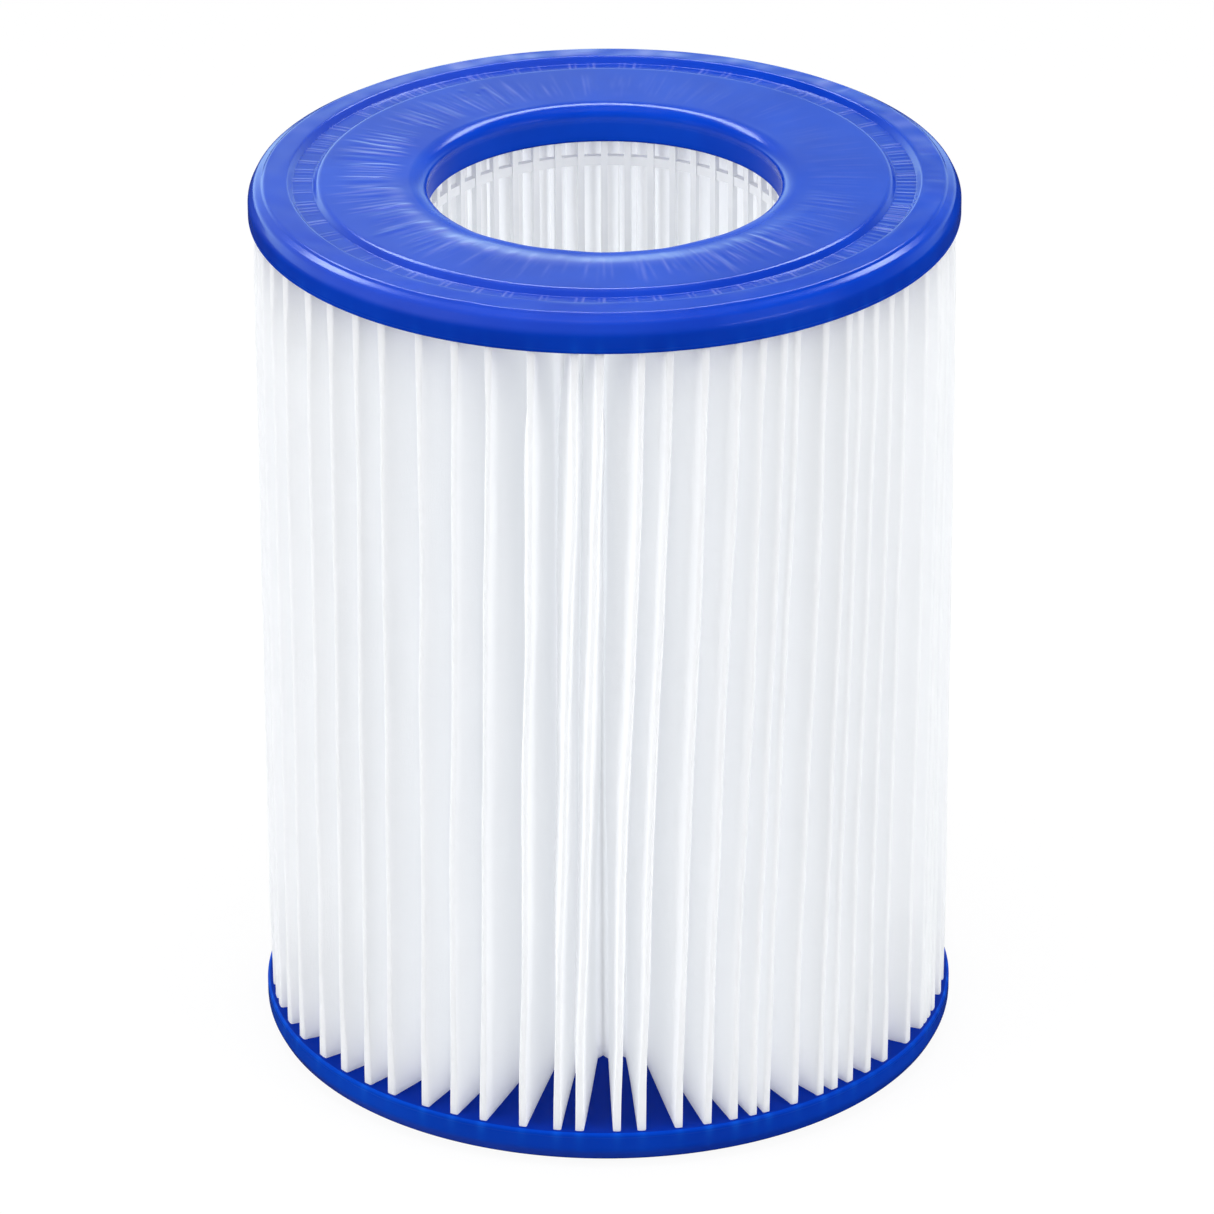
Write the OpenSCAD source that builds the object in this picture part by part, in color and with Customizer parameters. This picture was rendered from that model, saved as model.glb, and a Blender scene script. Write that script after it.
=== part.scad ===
// Pleated filter cartridge, potted type.
// Two soft cast end caps hold the ends of a pleated media pack and of a
// lattice core made of two push-fit sections. All sizes in millimetres.
// Origin: centre of the lower face. +Z runs along the cartridge axis, up.

/* [Overall] */
// Outside diameter over the end caps
outer_d = 106; // [100:1:112]
// Overall height, face to face
height = 139; // [120:1:205]

/* [End caps] */
// Thickness of each cast end cap
cap_t = 5.7; // [5:0.1:8]
// Diameter of the hole through each cap
bore_d = 52.6; // [50:0.1:53]
// Width of the rolled lip round the hole, seen on the face
lip_w = 2.5; // [1:0.1:4]
// Depth of the rolled lip, from the face into the hole
lip_h = 1.7; // [0.8:0.1:2]
// Inner radius of the ring channel, at the face
channel_ri = 42.4; // [38:0.1:43]
// Outer radius of the ring channel, at the face
channel_ro = 47.2; // [46:0.1:48]
// Depth of the ring channel
channel_h = 0.95; // [0.4:0.05:1.1]
// Width of each sloping side of the ring channel
channel_draft = 1.1; // [0.3:0.1:1.5]
// Width of the rounded shoulder outside the crest of the rim
shoulder_w = 2.3; // [2.2:0.1:3]
// Depth of the rounded shoulder below the face
shoulder_h = 2.6; // [2:0.1:3]
// How deep the media ends sit in each cap
pot_depth = 4.0; // [2.5:0.1:4.5]

/* [Pleated media] */
// Thickness of the folded sheet
media_t = 0.6; // [0.4:0.05:0.7]
// Radius that the pleat tips reach
tip_r = 52.2; // [50:0.1:52.2]
// Radius that the inner folds leave free
valley_r = 28.2; // [28.2:0.1:29]
// Bend radius of the sheet's mid line at every fold
fold_r = 0.45; // [0.4:0.01:0.5]
// Number of pleats
pleat_n = 72; // [64:1:72]
// How unevenly the pleat tips are spaced, as a share of the mean spacing
unevenness = 0.45; // [0:0.05:0.5]
// Direction of the first pleat tip, counted from -Y towards +X
first_tip = -80; // [-180:1:180]
// Which pleat holds the glued joint of the sheet's two ends
seam_pleat = 50; // [0:1:63]
// How far the glue reaches down between the sheet's ends
glue_depth = 9; // [4:0.5:14]

/* [Core] */
// Number of upright bars in the lattice
bar_n = 48; // [24:4:60]
// Width of each upright bar
bar_w = 1.0; // [0.8:0.1:1.4]
// Inner radius of the upright bars
bar_ri = 26.9; // [26.8:0.05:27]
// Radial depth of the upright bars
bar_t = 1.0; // [0.8:0.05:1.1]
// Inner radius of the hoops
hoop_ri = 27.1; // [27:0.05:27.2]
// Outer radius of the hoops
hoop_ro = 28.1; // [27.9:0.05:28.15]
// Height of each hoop
hoop_h = 1.5; // [1:0.1:2.5]
// Gap between a cap and the first hoop
hoop_inset = 2.6; // [1:0.1:5]
// Number of windows stacked in each core section
bays = 3; // [3:1:8]
// How deep the bar ends sit in each cap
prong_depth = 2.5; // [1.5:0.1:3.5]
// Length of the push-fit spigot between the sections
spigot_h = 2.4; // [1.5:0.1:3]
// Radial clearance in the push fit
spigot_gap = 0.05; // [0.03:0.01:0.1]

/* [Hidden] */
$fn = 180;

outer_r = outer_d / 2;
bore_r = bore_d / 2;
crest_r = outer_r - shoulder_w;
media_z0 = cap_t - pot_depth;
media_h = height - 2 * media_z0;

CAP_BLUE = [0.03, 0.26, 0.80];
MEDIA_WHITE = [0.95, 0.96, 0.97];
CORE_WHITE = [0.90, 0.91, 0.92];
GLUE = [0.93, 0.92, 0.86];

// ---------- helpers ----------
function pol(r, a) = [r * cos(a), r * sin(a)];
function arc(c, r, a0, a1, n) =
    [for (k = [0 : n]) c + pol(r, a0 + (a1 - a0) * k / n)];
function rev(v) = [for (k = [len(v) - 1 : -1 : 0]) v[k]];

// ---------- pleat layout ----------
// The tips wander: two waves of different pace run round the pack, so that the
// gap from one tip to the next keeps changing and seldom repeats.
n = pleat_n;
function gap(i) = 1 + unevenness * (0.6 * sin(137 * i) + 0.4 * sin(61 * i + 40));
turn = [for (i = 0, sum = 0; i <= n; sum = sum + gap(i), i = i + 1) sum];
// direction of tip i, for any whole i
function wrap(i) = ((i % n) + n) % n;
function tip_a(i) =
    -90 + first_tip + (turn[wrap(i)] / turn[n] + floor(i / n)) * 360;
// the inner folds are packed tightly, so they even out the tips' spacing
function fold_a(i) =
    (tip_a(i - 2) + tip_a(i - 1) + tip_a(i) + tip_a(i + 1)) / 4;

half_t = media_t / 2;
tip_c = tip_r - fold_r - half_t;
fold_c = valley_r + fold_r + half_t;
function P(i) = pol(tip_c, tip_a(i));    // centre of the bend at tip i
function V(i) = pol(fold_c, fold_a(i));  // centre of the bend at inner fold i

function ang(v) = atan2(v[1], v[0]);
function lean(L) = asin(2 * fold_r / L);
// heading of the wall that rises from fold i to tip i, and of the wall that
// falls from tip i to fold i + 1; both are given pointing outward
function up_a(i) = ang(P(i) - V(i)) - lean(norm(P(i) - V(i)));
function dn_a(i) = ang(P(i) - V(i + 1)) + lean(norm(P(i) - V(i + 1)));
function near(a, ref) = a + 360 * round((ref - a) / 360);

// bend round tip i and bend round fold i, as points at radius r
function tip_bend(i, r) =
    let (a0 = up_a(i) - 90, a1 = near(dn_a(i) + 90, a0 + 180))
    arc(P(i), r, a0, a1, 4);
function fold_bend(i, r) =
    let (a0 = dn_a(i - 1) - 90, a1 = near(up_a(i) + 90, a0 - 180))
    arc(V(i), r, a0, a1, 3);

s = seam_pleat;
function beside(i, heading, side, r) = P(i) + pol(r, heading + side * 90);

// The sheet is one open strip: it starts on one side of the seam pleat, runs
// once round the pack and ends on the other side of the same pleat.
module sheet_2d() {
    ro = fold_r + half_t;
    ri = fold_r - half_t;
    outside = concat(
        [beside(s, dn_a(s), 1, ro)],
        [for (k = [s + 1 : s + n - 1])
            each concat(fold_bend(k, ri), tip_bend(k, ro))],
        fold_bend(s + n, ri),
        [beside(s + n, up_a(s + n), -1, ro)]);
    inside = concat(
        [beside(s, dn_a(s), 1, ri)],
        [for (k = [s + 1 : s + n - 1])
            each concat(fold_bend(k, ro), tip_bend(k, ri))],
        fold_bend(s + n, ro),
        [beside(s + n, up_a(s + n), -1, ri)]);
    polygon(concat(outside, rev(inside)));
}

// Glue in the seam pleat: a web between the two ends of the sheet and a
// round bead that closes them at the tip.
module glue_2d() {
    ro = fold_r + half_t;
    ri = fold_r - half_t;
    a_up = beside(s, up_a(s), -1, ri);
    b_up = V(s) + pol(ro, up_a(s) + 90);
    a_dn = beside(s, dn_a(s), 1, ri);
    b_dn = V(s + 1) + pol(ro, dn_a(s) - 90);
    f = glue_depth / (tip_c - fold_c);
    polygon(concat(
        tip_bend(s, ro),
        [a_dn, a_dn + f * (b_dn - a_dn)],
        [a_up + f * (b_up - a_up), a_up]));
}

module bars_2d(ri = bar_ri, t = bar_t) {
    for (k = [0 : bar_n - 1])
        rotate(k * 360 / bar_n)
            translate([ri, -bar_w / 2]) square([t, bar_w]);
}

// ---------- end caps ----------
// Half section, with the outer face on y = 0 and the potted side up.
function lip_at(a) = [bore_r + lip_w * (1 - cos(a)), lip_h * (1 - sin(a))];
function cap_section() = concat(
    [[bore_r + 0.3, cap_t], [bore_r, cap_t - 0.3]],
    [for (a = [0 : 9 : 90]) lip_at(a)],
    [[channel_ri, 0], [channel_ri + channel_draft, channel_h],
     [channel_ro - channel_draft, channel_h], [channel_ro, 0]],
    // the crest is a small step, and the shoulder rolls over below it
    [[crest_r, 0], [crest_r + 0.2, 0.3], [outer_r - 0.95, 0.85],
     [outer_r - 0.55, 1.2], [outer_r - 0.25, 1.65], [outer_r - 0.06, 2.15],
     [outer_r, shoulder_h], [outer_r, cap_t - 0.7]],
    arc([outer_r - 0.6, cap_t - 0.6], 0.6, 0, 90, 4));

module cap_blank() { rotate_extrude() polygon(cap_section()); }

// The cap is cast round the ends of the media, the glue and the core, so it
// carries a slot for each of them.
module bottom_end_cap() {
    color(CAP_BLUE) difference() {
        cap_blank();
        translate([0, 0, media_z0]) linear_extrude(cap_t) sheet_2d();
        translate([0, 0, media_z0]) linear_extrude(cap_t) glue_2d();
        translate([0, 0, cap_t - prong_depth]) linear_extrude(cap_t) bars_2d();
    }
}
module top_end_cap() {
    color(CAP_BLUE) difference() {
        translate([0, 0, height]) mirror([0, 0, 1]) cap_blank();
        translate([0, 0, height - cap_t - media_z0]) linear_extrude(cap_t) sheet_2d();
        translate([0, 0, height - cap_t - media_z0]) linear_extrude(cap_t) glue_2d();
        translate([0, 0, height - 2 * cap_t + prong_depth]) linear_extrude(cap_t) bars_2d();
    }
}

// ---------- media ----------
module pleated_media() {
    color(MEDIA_WHITE) translate([0, 0, media_z0])
        linear_extrude(media_h) sheet_2d();
}
module seam_glue() {
    color(GLUE) translate([0, 0, media_z0])
        linear_extrude(media_h) glue_2d();
}

// ---------- core ----------
mid = height / 2;
end_z = cap_t - prong_depth;      // where the bar ends start
hoop_z = cap_t + hoop_inset;      // where the first hoop starts
joint_h = 3;                      // height of the hoop at the push fit
pitch = (mid - joint_h - hoop_z) / bays;

module hoop(z, h = hoop_h, ri = hoop_ri, ro = hoop_ro) {
    translate([0, 0, z]) difference() {
        cylinder(r = ro, h = h);
        translate([0, 0, -1]) cylinder(r = ri, h = h + 2);
    }
}
// One section, standing on its potted end; the joint hoop's face is at mid.
module core_half(bars_to) {
    for (k = [0 : bays - 1]) hoop(hoop_z + k * pitch);
    translate([0, 0, end_z]) linear_extrude(bars_to - end_z) bars_2d();
}
spigot_ro = hoop_ri + 0.42;
module core_lower_section() {
    color(CORE_WHITE) {
        core_half(mid - joint_h / 2);
        hoop(mid - joint_h, joint_h);
        // spigot with a low snap bead half way up
        translate([0, 0, mid - 0.5]) rotate_extrude() polygon([
            [hoop_ri, 0], [spigot_ro, 0], [spigot_ro, 0.5 + spigot_h / 2 - 0.3],
            [spigot_ro + 0.12, 0.5 + spigot_h / 2 - 0.1],
            [spigot_ro + 0.12, 0.5 + spigot_h / 2 + 0.1],
            [spigot_ro, 0.5 + spigot_h / 2 + 0.3],
            [spigot_ro, 0.5 + spigot_h - 0.2], [spigot_ro - 0.2, 0.5 + spigot_h],
            [hoop_ri, 0.5 + spigot_h]]);
    }
}
module core_upper_section() {
    color(CORE_WHITE)
    difference() {
        translate([0, 0, height]) mirror([0, 0, 1]) {
            core_half(mid - spigot_h - 0.4);
            hoop(mid - joint_h, joint_h);
        }
        // socket with the matching groove
        translate([0, 0, mid - 1]) rotate_extrude() polygon([
            [hoop_ri - 2, 0], [spigot_ro + spigot_gap, 0],
            [spigot_ro + spigot_gap, 1 + spigot_h / 2 - 0.3],
            [spigot_ro + spigot_gap + 0.12, 1 + spigot_h / 2 - 0.1],
            [spigot_ro + spigot_gap + 0.12, 1 + spigot_h / 2 + 0.1],
            [spigot_ro + spigot_gap, 1 + spigot_h / 2 + 0.3],
            [spigot_ro + spigot_gap, 1 + spigot_h + spigot_gap],
            [hoop_ri - 2, 1 + spigot_h + spigot_gap]]);
    }
}

top_end_cap();
bottom_end_cap();
pleated_media();
seam_glue();
core_upper_section();
core_lower_section();
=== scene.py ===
import math

import bpy
import numpy as np
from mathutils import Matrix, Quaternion, Vector


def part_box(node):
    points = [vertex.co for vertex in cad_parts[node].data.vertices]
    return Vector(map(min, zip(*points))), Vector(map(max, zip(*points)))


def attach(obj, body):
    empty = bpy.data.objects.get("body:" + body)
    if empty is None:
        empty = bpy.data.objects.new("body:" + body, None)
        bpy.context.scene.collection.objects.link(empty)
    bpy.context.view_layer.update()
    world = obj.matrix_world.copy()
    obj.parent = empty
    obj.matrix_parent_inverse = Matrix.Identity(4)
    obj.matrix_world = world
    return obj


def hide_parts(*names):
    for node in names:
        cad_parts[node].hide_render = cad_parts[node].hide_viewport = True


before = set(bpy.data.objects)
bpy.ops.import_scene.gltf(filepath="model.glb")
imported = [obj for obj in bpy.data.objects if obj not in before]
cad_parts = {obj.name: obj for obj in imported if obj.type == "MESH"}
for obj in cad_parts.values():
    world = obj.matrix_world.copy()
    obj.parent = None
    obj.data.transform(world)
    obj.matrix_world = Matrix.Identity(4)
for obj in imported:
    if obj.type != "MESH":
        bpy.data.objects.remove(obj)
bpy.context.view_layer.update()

MM = 0.001
TAU = 2 * math.pi

# studio levels
W_DIF, W_GLOSS = 0.46, 1.9
K_LEFT, K_RIGHT, K_TOP = 7.7, 6.8, 8.4
G_TOP, G_LEFT, G_RIGHT = 16.0, 0.10, 0.60
GLOW = 0.066          # painted glow: emission on the fleece standing in for light that has come through the pack

# ---------------------------------------------------------------- the frame
top_lo, top_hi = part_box("top_end_cap")
bot_lo, bot_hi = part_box("bottom_end_cap")
med_lo, med_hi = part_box("pleated_media")
clo_lo, clo_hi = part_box("core_lower_section")
cup_lo, cup_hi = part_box("core_upper_section")
H = top_hi.z / MM                     # overall height, mm
CAP_T = (bot_hi.z - bot_lo.z) / MM    # thickness of a cap, mm
R_OUT = (bot_hi.x - bot_lo.x) / MM / 2
R_OUT = max(R_OUT, (bot_hi.y - bot_lo.y) / MM / 2)
R_BORE = 26.3
FLOOR_Z = CAP_T                       # potted side of the lower cap
CEIL_Z = H - CAP_T                    # potted side of the upper cap

# ---------------------------------------------------------------- pleat layout
# Angular gap from each pleat tip to the next, run twice round the pack. The
# CAD model spaces its tips by a rule of its own. Angles run from -Y towards
# +X, in degrees.
GAPS = [3.3, 6.2, 5.9, 7.5, 6.3, 6.0, 5.4, 7.0, 5.5, 5.3, 6.9, 5.8, 3.7, 6.2,
        4.1, 6.2, 4.9, 4.6, 3.5, 2.4, 5.5, 5.3, 3.1, 3.6, 4.5, 4.8, 7.6, 5.8,
        1.8, 2.0, 2.8, 5.9, 5.2, 4.9, 5.6, 4.9] * 2
NP = len(GAPS)
FIRST = -79.7
SEAM = 50
_turn = np.concatenate([[0.0], np.cumsum(GAPS)])
TIP = FIRST + _turn[:-1] / _turn[-1] * 360.0      # tip angles, degrees
_ext = np.concatenate([TIP[-2:] - 360, TIP, TIP[:2] + 360])
# inner folds: fold i lies between pleat i - 1 and pleat i
FOLD = (_ext[0:NP] + _ext[1:NP + 1] + _ext[2:NP + 2] + _ext[3:NP + 3]) / 4


def rng(seed):
    return np.random.default_rng(seed)


def smooth(t):
    t = np.clip(t, 0.0, 1.0)
    return t * t * (3 - 2 * t)


def wrapdeg(a):
    return (np.asarray(a) + 180.0) % 360.0 - 180.0


def bump_deg(theta, centre, width):
    """1 at centre and 0 beyond width, in degrees round the axis."""
    return smooth(1 - np.abs(wrapdeg(theta - centre)) / width)


# ---------------------------------------------------------------- mesh helpers
def make_object(name, verts, quads, tris=None, mats=(), attrs=None):
    """One mesh object from arrays. verts in millimetres."""
    mesh = bpy.data.meshes.new(name)
    nq = 0 if quads is None else len(quads)
    nt = 0 if tris is None else len(tris)
    loops = []
    if nq:
        loops.append(np.asarray(quads, np.int32).ravel())
    if nt:
        loops.append(np.asarray(tris, np.int32).ravel())
    loops = np.concatenate(loops)
    starts = np.concatenate([np.arange(nq) * 4, nq * 4 + np.arange(nt) * 3])
    totals = np.concatenate([np.full(nq, 4), np.full(nt, 3)])
    mesh.vertices.add(len(verts))
    mesh.vertices.foreach_set("co", (np.asarray(verts, np.float64) * MM)
                              .astype(np.float32).ravel())
    mesh.loops.add(len(loops))
    mesh.loops.foreach_set("vertex_index", loops.astype(np.int32))
    mesh.polygons.add(nq + nt)
    mesh.polygons.foreach_set("loop_start", starts.astype(np.int32))
    mesh.polygons.foreach_set("loop_total", totals.astype(np.int32))
    mesh.polygons.foreach_set("use_smooth", np.ones(nq + nt, bool))
    mesh.update(calc_edges=True)
    mesh.validate()
    if attrs:
        for key, values in attrs.items():
            a = mesh.attributes.new(key, "FLOAT", "POINT")
            a.data.foreach_set("value", np.asarray(values, np.float32).ravel())
    for m in mats:
        mesh.materials.append(m)
    obj = bpy.data.objects.new(name, mesh)
    bpy.context.scene.collection.objects.link(obj)
    return obj


def grid_quads(nu, nv, wrap_u, wrap_v, base=0, flip=False):
    """Quads of a nu x nv grid of vertices stored row by row (u outer)."""
    iu = np.arange(nu if wrap_u else nu - 1)
    iv = np.arange(nv if wrap_v else nv - 1)
    u, v = np.meshgrid(iu, iv, indexing="ij")
    u2, v2 = (u + 1) % nu, (v + 1) % nv
    q = np.stack([u * nv + v, u2 * nv + v, u2 * nv + v2, u * nv + v2], -1)
    q = q.reshape(-1, 4) + base
    return q[:, ::-1] if flip else q


def fillet_polyline(corners, arc_step=12.0, seg=0.6):
    """Corner points (x, y, fillet radius[, straight step]) of a closed loop to a
    dense loop of points, with the corners rounded."""
    pts = []
    n = len(corners)
    c = [np.array(p[:2], float) for p in corners]
    cuts = []
    for i in range(n):
        p, a, b = c[i], c[i - 1], c[(i + 1) % n]
        d0, d1 = (p - a), (b - p)
        d0, d1 = d0 / np.linalg.norm(d0), d1 / np.linalg.norm(d1)
        turn = math.atan2(d0[0] * d1[1] - d0[1] * d1[0], float(d0 @ d1))
        r = corners[i][2]
        if r <= 0 or abs(turn) < 1e-3:
            cuts.append((p, p, [p]))
            continue
        t = r * math.tan(abs(turn) / 2)
        s, e = p - d0 * t, p + d1 * t
        nrm = np.array([-d0[1], d0[0]]) * (1 if turn > 0 else -1)
        cen = s + nrm * r
        k = max(2, int(math.ceil(abs(math.degrees(turn)) / arc_step)))
        a0 = math.atan2(*(s - cen)[::-1])
        arc = [cen + r * np.array([math.cos(a0 + turn * j / k),
                                   math.sin(a0 + turn * j / k)])
               for j in range(k + 1)]
        cuts.append((s, e, arc))
    for i in range(n):
        pts.extend(cuts[i][2])
        step = corners[i][3] if len(corners[i]) > 3 else seg
        a, b = cuts[i][1], cuts[(i + 1) % n][0]
        length = float(np.linalg.norm(b - a))
        k = max(1, int(round(length / step)))
        for j in range(1, k):
            pts.append(a + (b - a) * j / k)
    return np.array(pts)


# ---------------------------------------------------------------- end caps
N_RING = 1440


def cap_profile():
    """Closed loop (r, d), d measured from the outer face into the part."""
    T = CAP_T
    lip_w, lip_h = 2.5, 1.7
    lip = []
    for k in range(0, 11):
        a = math.radians(9 * k)
        lip.append((R_BORE + lip_w * (1 - math.cos(a)),
                    lip_h * (1 - math.sin(a)), 0.0, 10.0))
    corners = [(R_BORE, T, 0.45, 0.5)] + [(lip[0][0], lip[0][1], 0.0, 10.0)]
    corners += lip[1:-1]
    corners += [(lip[-1][0], 0.0, 0.0, 0.42)]
    corners += [
        (42.45, 0.0, 1.10, 0.30),
        (43.3, 0.95, 0.22, 0.24),
        (46.3, 0.95, 0.22, 0.30),
        (47.1, 0.0, 0.50, 0.32),
        (50.62, 0.0, 0.60, 0.2),
        (51.0, 0.34, 0.12, 0.3),
        (52.15, 0.84, 1.3, 0.3),
        (R_OUT, 2.5, 2.6, 0.45),
        (R_OUT, T, 0.55, 1.2),
    ]
    # the potted side runs back to the bore
    return fillet_polyline(corners, arc_step=8.0, seg=0.6)


PROFILE = cap_profile()
# the inner ring is dished towards the hole, and the rim band falls outward
_r, _d = PROFILE[:, 0], PROFILE[:, 1]
_face = 1 - smooth((_d - 2.0) / 2.5)
DISH = 0.36 * (1 - smooth((_r - 28.8) / 4.6)) * _face
PROFILE[:, 1] = _d + 0.12 * smooth((_r - 47.4) / 3.4) * _face


def build_cap(name, flip, tips, material, seed, streak):
    """flip False: outer face up at z = H; flip True: outer face down at z = 0.
    tips: the pleat tip angles (degrees) at this cap."""
    g = rng(seed)
    th = np.arange(N_RING) * 360.0 / N_RING          # degrees, from -Y to +X
    prof = PROFILE
    P = len(prof)
    r = np.repeat(prof[None, :, 0], N_RING, 0)
    d = np.repeat(prof[None, :, 1], N_RING, 0)
    T2 = np.repeat(th[:, None], P, 1)
    # outward normal of the profile, from the neighbouring points
    tang = np.roll(prof, -1, 0) - np.roll(prof, 1, 0)
    tang /= np.linalg.norm(tang, axis=1)[:, None]
    nrm = np.stack([tang[:, 1], -tang[:, 0]], -1)     # (dr, dd)
    nr = np.repeat(nrm[None, :, 0], N_RING, 0)
    nd = np.repeat(nrm[None, :, 1], N_RING, 0)
    on_face = (d < 0.4) * (r < 42.3) * (r > 28.9)
    # the dish is deepest at the near left and dies out round the back
    deep = smooth(1.25 - np.abs(wrapdeg(T2 + 18)) / 105)
    deep *= 1 + 0.16 * np.sin(np.radians(T2) * 7 + 0.6) + 0.10 * np.sin(np.radians(T2) * 17 + 2.1)
    d = d + DISH[None, :] * deep
    push = np.zeros_like(r)                           # along the normal, mm
    bloom = np.zeros_like(r)                          # painted sheen: paler lilac patches that stand in for highlights

    # 1. the pleat ends print through the inner ring as soft radial ridges
    left = 0.30 + 0.95 * smooth(1 - np.abs(wrapdeg(T2 + 92)) / 95)
    left += 0.55 * smooth(1 - np.abs(wrapdeg(T2 - 28)) / 45)
    left *= 1 - 0.55 * smooth(1 - np.abs(wrapdeg(T2 - 120)) / 60)
    for i, a in enumerate(tips):
        amp = g.uniform(0.25, 1.0) * (1 if g.random() > 0.18 else -0.6)
        wid = g.uniform(0.9, 1.7)
        r0 = 29.8 + g.uniform(-0.6, 1.4)
        r1 = g.uniform(36.5, 42.6)
        drift = g.uniform(-0.09, 0.09)
        x = wrapdeg(T2 - a - drift * (r - 34.0)) / (wid * 34.0 / np.maximum(r, 1))
        env = smooth((r - r0) / 2.2) * smooth((r1 - r) / 5.5) * on_face
        push += 0.062 * amp * left * np.exp(-x * x) * env
        # a finer companion line beside it
        off = g.uniform(1.6, 2.8)
        x2 = wrapdeg(T2 - a - off + drift * (r - 34.0)) / 0.55
        env2 = smooth((r - 30.5) / 2.0) * smooth((g.uniform(33, 40) - r) / 4.0)
        push += 0.045 * g.uniform(-1, 1) * left * np.exp(-x2 * x2) * env2 * on_face
        for _ in range(3):
            x3 = wrapdeg(T2 - a - g.uniform(-2.6, 2.6) + drift * 2 * (r - 36.0)) / g.uniform(0.45, 0.95)
            env3 = smooth((r - g.uniform(29, 35)) / 3.0) * smooth((g.uniform(36, 42.6) - r) / 4.0)
            push += 0.034 * g.uniform(-1, 1) * left * np.exp(-x3 * x3) * env3 * on_face
        for _ in range(5):
            w4 = g.uniform(0.26, 0.48)
            x4 = wrapdeg(T2 - a - g.uniform(-2.8, 2.8) + g.uniform(-0.10, 0.10) * (r - 36.0)) / w4
            env4 = smooth((r - g.uniform(29, 34)) / 2.5) * smooth((g.uniform(37, 42.6) - r) / 3.5)
            line = np.exp(-x4 * x4) * env4 * on_face
            push += 0.025 * g.uniform(0.3, 1) * left * line
            # painted sheen: lilac highlights along the fine lines
            bloom += 0.48 * g.uniform(0, 1) * left * line
        # the inner end of the pleat makes a low blister beside the hole
        bl = bump_deg(T2, a, 1.9) * smooth(1 - np.abs(r - 31.6 - g.uniform(-0.4, 0.6)) / 2.0)
        near = 0.06 + 1.0 * smooth(1 - np.abs(wrapdeg(T2 + 40)) / 62)
        push += 0.085 * g.uniform(0.2, 1.0) * near * bl * on_face
        # painted sheen: lilac highlights on the blisters
        bloom += 1.1 * g.uniform(0.0, 1.0) * near * bl * on_face

    # painted sheen: a lilac band just outside the near lip stands in for a highlight; painted light makes the ring
    # paler to the left
    band = smooth((r - 29.4) / 1.8) * smooth((35.5 - r) / 4.5) * on_face
    bloom += 0.62 * band * smooth(1 - np.abs(wrapdeg(T2 + 24)) / 78)
    bloom += 0.15 * smooth(0.5 - r * np.sin(np.radians(T2)) / 90) * (r > 29)

    # 2. pairs of thin radial marks across the channel floor
    on_floor = smooth((r - 43.2) / 0.35) * smooth((46.5 - r) / 0.35) * (d > 0.5) * (d < 2)
    for i, a in enumerate(tips):
        c = a + g.uniform(-0.5, 0.5)
        half = g.uniform(0.45, 0.7)
        for sgn in (-1, 1):
            x = wrapdeg(T2 - c - sgn * half) / 0.22
            tick = np.exp(-x * x) * on_floor
            push += g.uniform(0.02, 0.065) * tick
            # painted sheen: highlights on the marks
            bloom += g.uniform(0.1, 0.9) * tick
        if g.random() > 0.45:
            x = wrapdeg(T2 - c - g.uniform(1.4, 3.0)) / 0.22
            push += g.uniform(-0.045, 0.045) * np.exp(-x * x) * on_floor
    comb = smooth(1 - np.abs(wrapdeg(T2 - 75)) / 50)
    push += 0.022 * comb * np.sin(np.radians(T2) * 205) * on_floor

    # 3. the rim band is cast against thin skin: slow waves, radial streaks
    on_band = smooth((r - 47.3) / 0.5) * smooth((50.65 - r) / 0.35) * (d < 0.3)
    for k in range(10):
        f = g.integers(9, 46)
        push += 0.0105 * np.sin(np.radians(T2) * f + g.uniform(0, TAU)
                               + (r - 49) * g.uniform(-1.4, 1.4)) * on_band
    right = smooth(1 - np.abs(wrapdeg(T2 - 105)) / 75)
    for i, a in enumerate(tips):
        x = wrapdeg(T2 - a - g.uniform(-1, 1)) / g.uniform(0.5, 1.1)
        push += 0.030 * g.uniform(-1, 1) * right * np.exp(-x * x) * on_band
        far = smooth(1 - np.abs(wrapdeg(T2 - 165)) / 100)
        # painted reflection: a pale sheen on the rim band round the back
        bloom += 1.0 * g.uniform(0.15, 1) * far * np.exp(-0.25 * x * x) * smooth((r - 47.3) / 0.6) * (d < 1.2)

    # 4. slow unevenness of the whole face and of the wall
    for k in range(6):
        f = g.integers(2, 9)
        push += 0.010 * np.sin(np.radians(T2) * f + g.uniform(0, TAU)
                              + r * g.uniform(-0.25, 0.25)) * (d < 0.3) * (r < 42.2) * (r > 29)
    on_wall = (r > R_OUT - 0.02) * smooth((d - 2.2) / 0.8) * smooth((CAP_T - 0.4 - d) / 0.8)
    # paler blue where the vinyl is thin over the pleat tips; the same attribute also carries painted light on the
    # lower cap's wall and on the bore
    thin = np.zeros_like(r)
    for i, a in enumerate(tips):
        x = wrapdeg(T2 - a) / 0.75
        hit = np.exp(-x * x) * g.uniform(0.25, 1.0)
        push -= 0.018 * hit * on_wall
        thin += hit * (0.25 + 0.75 * smooth((d - 3.4) / 2.2)) * smooth((d - 1.8) / 1.2) * (r > R_OUT - 0.9)
    push = np.minimum(push, np.where(r > R_OUT - 0.05, 0.0, 9.0))
    # 5. a few small nicks, left by the mould, at the back left of the ring
    for (tr, ta, w, h) in ((38.6, -151.5, 0.45, 0.05), (37.4, -149.2, 0.35, -0.06),
                           (39.6, -146.8, 0.40, 0.05), (36.2, -145.0, 0.5, -0.04)):
        dist2 = (r - tr) ** 2 + (np.radians(wrapdeg(T2 - ta)) * r) ** 2
        push += 1.3 * h * np.exp(-dist2 / (w * w)) * (d < 0.3)

    # 6. vinyl drawn up a little where it wets the pleats, on the potted side
    on_pot = (d > CAP_T - 0.02) * smooth((r - 27.5) / 1.5) * smooth((52.2 - r) / 1.0)
    for i, a in enumerate(tips):
        x = wrapdeg(T2 - a) / 1.3
        push += 0.10 * np.exp(-x * x) * on_pot

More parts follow.
